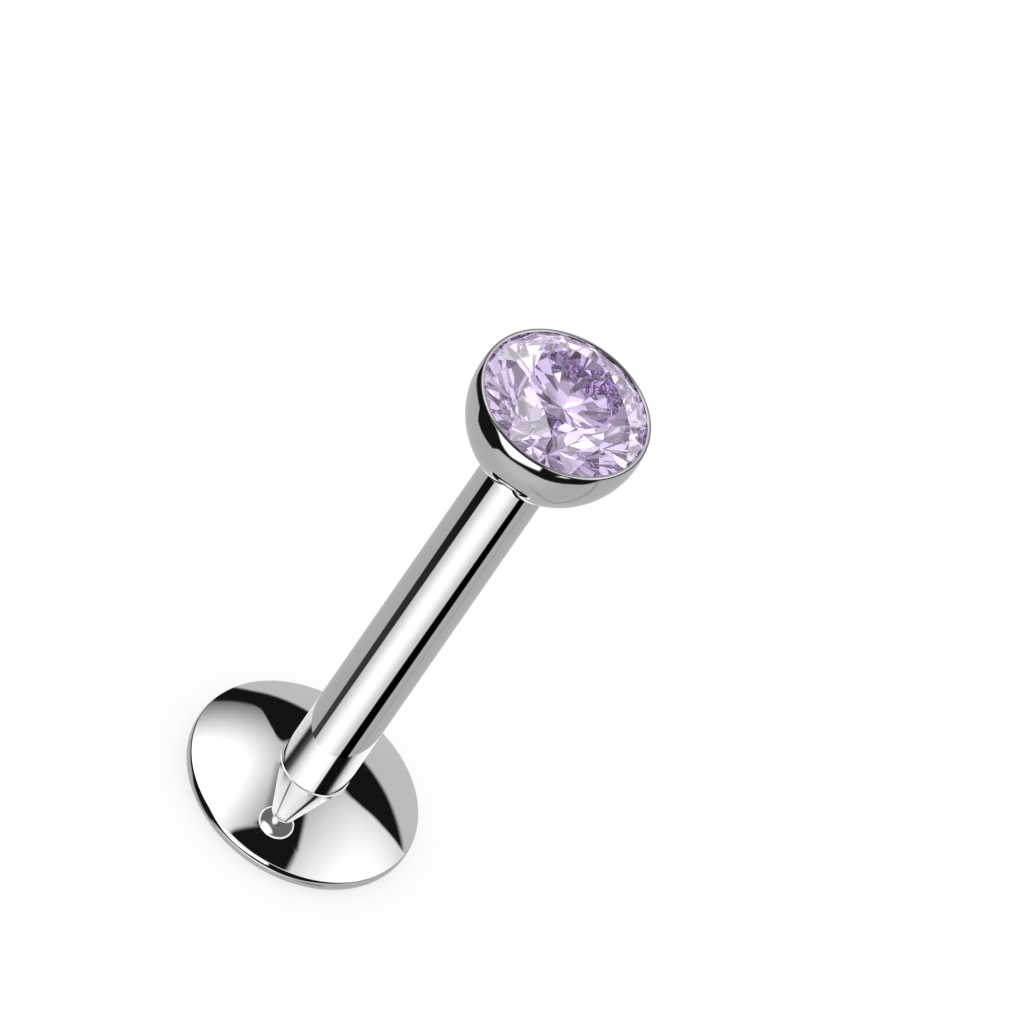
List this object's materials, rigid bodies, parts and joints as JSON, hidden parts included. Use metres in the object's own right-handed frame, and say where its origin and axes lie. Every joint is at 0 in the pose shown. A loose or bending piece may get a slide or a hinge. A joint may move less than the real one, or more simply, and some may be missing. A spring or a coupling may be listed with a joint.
{
  "type": "labret stud with a domed disc back and a stone-set ball end",
  "caption": "Straight labret stud: a plain post on a domed disc back, with a ball end that carries a flush-set round brilliant stone.",
  "frame": {"origin": "centre of the disc's flat underside, which the stud stands on", "axes": "+Z along the post, from the disc to the ball and the stone; the front of the stone's turn is -Y"},
  "size_m": [0.004, 0.004, 0.0112],
  "materials": {
    "polished_steel": "mirror-polished surgical steel, solid and unplated, with faint polishing scratches",
    "lilac_stone": "polished pale lilac cut stone with sharp flat facets"
  },
  "bodies": {
    "root": {"labret_post": "polished_steel", "ball_setting": "polished_steel", "stone": "lilac_stone"}
  },
  "joints": []
}
